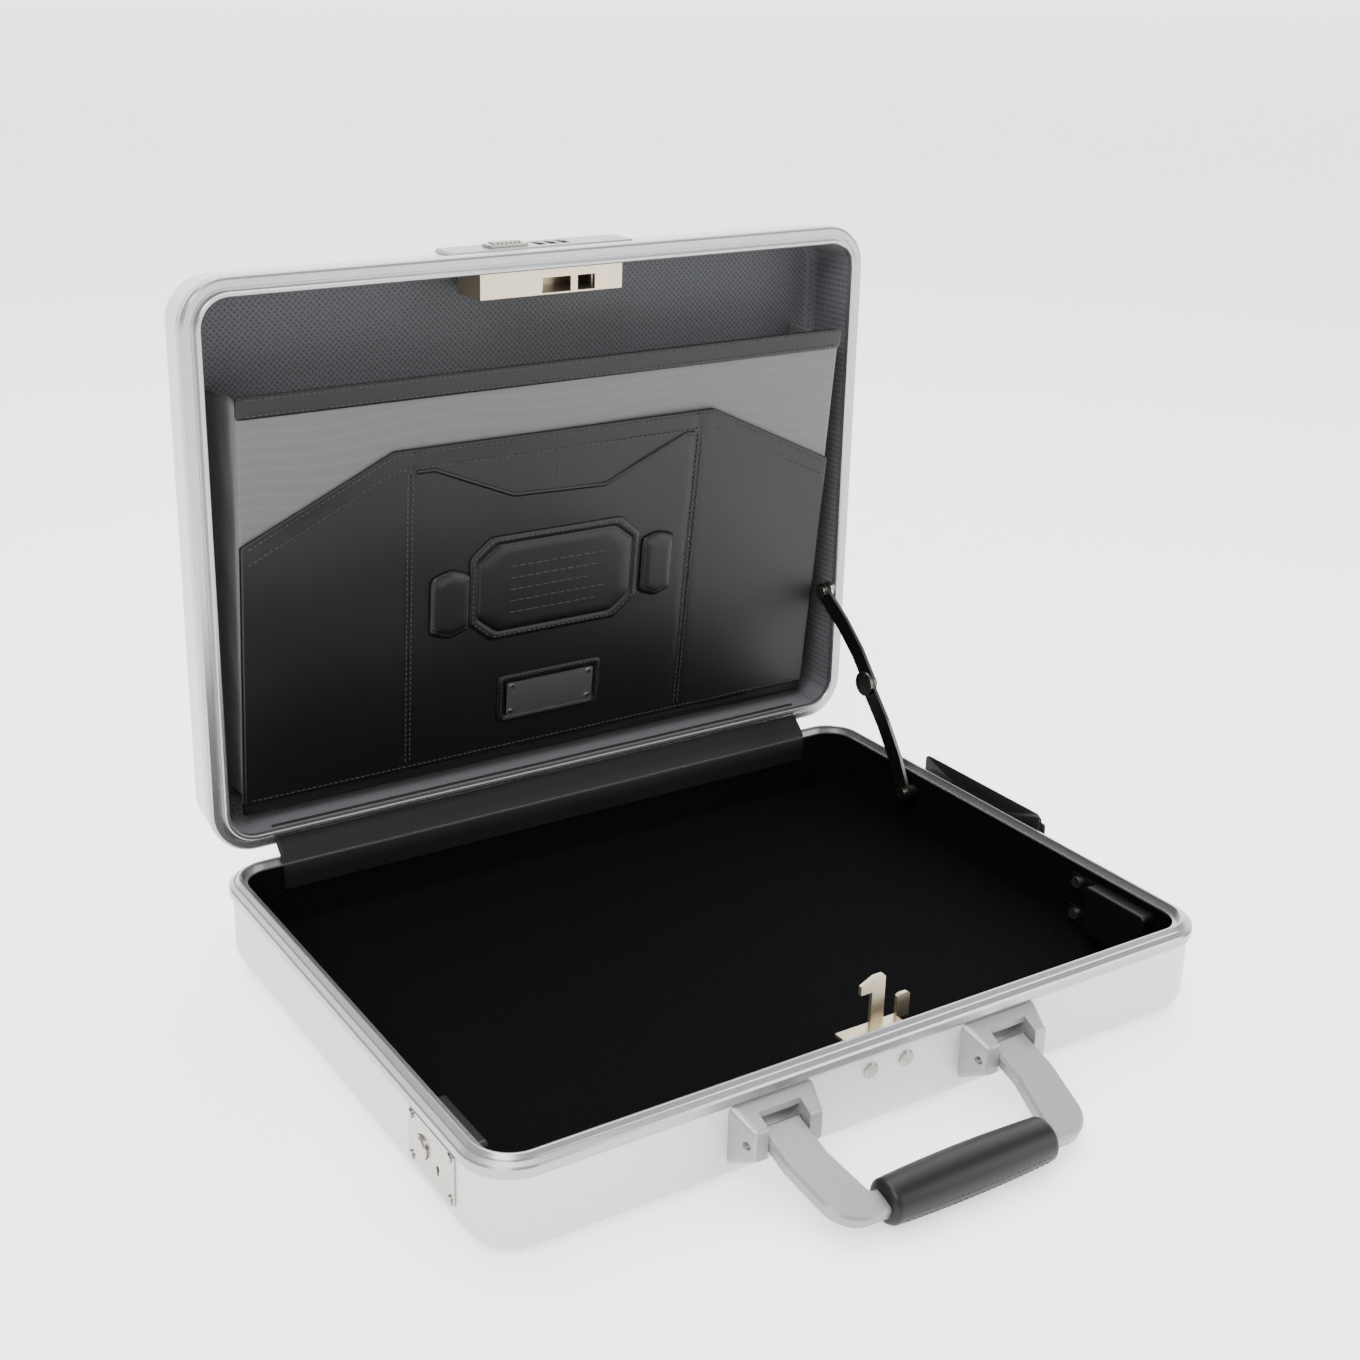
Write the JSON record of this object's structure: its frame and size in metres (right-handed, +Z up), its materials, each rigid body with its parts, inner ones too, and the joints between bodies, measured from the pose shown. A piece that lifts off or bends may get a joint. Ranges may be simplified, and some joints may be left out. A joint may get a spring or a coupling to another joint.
{
  "type": "aluminum attache case",
  "caption": "Hard aluminium attache case standing open, with folding handle, combination latch, lid stay, lined base and an organiser pocket in the lid.",
  "frame": {"origin": "centre of the base's underside, on the ground", "axes": "+X right, -Y towards the handle, +Z up; the lid stands open a quarter turn at +Y"},
  "size_m": [0.4244, 0.4165, 0.3684],
  "materials": {
    "shell_aluminium": "satin painted sheet",
    "rim_aluminium": "satin anodised",
    "lining_felt": "matte felt",
    "lid_lining_fabric": "woven",
    "steel": "brushed",
    "nickel": "satin nickel",
    "cast_grey": "satin",
    "black_plastic": "satin",
    "handle_metal": "satin",
    "gunmetal": "satin",
    "champagne_metal": "satin anodised",
    "black_leather": "grained",
    "grey_nylon": "woven nylon",
    "plate_metal": "brushed"
  },
  "bodies": {
    "base": {"anchor_housing_left": "black_plastic", "anchor_housing_right": "black_plastic", "anchor_housing_screws": "steel", "anchor_lock_barrels": "nickel", "anchor_plate_left": "nickel", "anchor_plate_right": "nickel", "anchor_plate_screws": "nickel", "anchor_springs": "steel", "base_lining": "lining_felt", "base_rim": "rim_aluminium", "base_shell": "shell_aluminium", "card_holder_back": "black_leather", "card_holder_front": "black_leather", "card_holder_rivets": "nickel", "catch_hook": "champagne_metal", "catch_rivets": "nickel", "handle_bracket_left": "cast_grey", "handle_bracket_right": "cast_grey", "handle_bracket_screws": "steel", "handle_pivot_pins": "nickel", "hinge_cover": "lining_felt", "hinge_leaf_base": "steel", "hinge_pin": "steel", "hinge_rivets_base": "steel", "stay_base_post": "nickel"},
    "lid": {"lid_shell": "shell_aluminium", "lid_rim": "rim_aluminium", "lid_lining": "lid_lining_fabric", "hinge_leaf_lid": "steel", "hinge_rivets_lid": "steel", "lock_plate": "handle_metal", "lock_case": "champagne_metal", "lock_screws": "nickel", "dial_shaft": "steel", "pocket_panel": "grey_nylon", "pocket_gusset_left": "grey_nylon", "pocket_gusset_right": "grey_nylon", "organiser_panel": "black_leather", "octagon_patch": "black_leather", "pen_loops": "black_leather", "id_frame": "black_leather", "id_plate": "plate_metal", "id_plate_rivets": "nickel", "stay_lid_boss": "nickel"},
    "handle": {"handle_frame": "handle_metal", "handle_grip": "black_plastic"},
    "stay_lower": {"stay_lower_link": "gunmetal", "stay_elbow_disc": "gunmetal"},
    "stay_upper": {"stay_upper_link": "gunmetal", "stay_lid_screw": "nickel"},
    "dial_one": {"dial_1": "black_plastic"},
    "dial_two": {"dial_2": "black_plastic"},
    "dial_three": {"dial_3": "black_plastic"},
    "slider": {"release_slider": "nickel", "latch_bolt": "steel"},
    "button_left": {"anchor_button_left": "nickel"},
    "button_right": {"anchor_button_right": "nickel"}
  },
  "joints": [
    {"name": "lid_hinge", "type": "hinge", "parent": "base", "child": "lid", "pos_m": [0, 0.157, 0.0535], "axis": [1, 0, 0], "range_deg": [0, 90]},
    {"name": "stay_base_pivot", "type": "hinge", "parent": "base", "child": "stay_lower", "pos_m": [0.194, 0.069, 0.0365], "axis": [1, 0, 0], "range_deg": [0, 95.7]},
    {"name": "stay_elbow", "type": "hinge", "parent": "stay_lower", "child": "stay_upper", "pos_m": [0.196, 0.1093, 0.09374], "axis": [1, 0, 0], "range_deg": [-149.8, 0]},
    {"name": "handle_pivot", "type": "hinge", "parent": "base", "child": "handle", "pos_m": [0, -0.163, 0.027], "axis": [-1, 0, 0], "range_deg": [-65, 95]},
    {"name": "release_slide", "type": "slide", "parent": "lid", "child": "slider", "axis": [1, 0, 0], "range_m": [0, 0.005]},
    {"name": "anchor_button_left_press", "type": "slide", "parent": "base", "child": "button_left", "axis": [1, 0, 0], "range_m": [0, 0.0025], "stiffness_N_per_m": 600},
    {"name": "anchor_button_right_press", "type": "slide", "parent": "base", "child": "button_right", "axis": [-1, 0, 0], "range_m": [0, 0.0025], "stiffness_N_per_m": 600},
    {"name": "dial_one_spin", "type": "hinge", "parent": "lid", "child": "dial_one", "pos_m": [0.0015, 0.1775, 0.3599], "axis": [1, 0, 0], "continuous": true},
    {"name": "dial_two_spin", "type": "hinge", "parent": "lid", "child": "dial_two", "pos_m": [0.009, 0.1775, 0.3599], "axis": [1, 0, 0], "continuous": true},
    {"name": "dial_three_spin", "type": "hinge", "parent": "lid", "child": "dial_three", "pos_m": [0.0165, 0.1775, 0.3599], "axis": [1, 0, 0], "continuous": true}
  ],
  "couplings": [
    {"joint": "stay_base_pivot", "follows": "lid_hinge", "ratio": 1.0618},
    {"joint": "stay_elbow", "follows": "lid_hinge", "ratio": -1.6634}
  ]
}
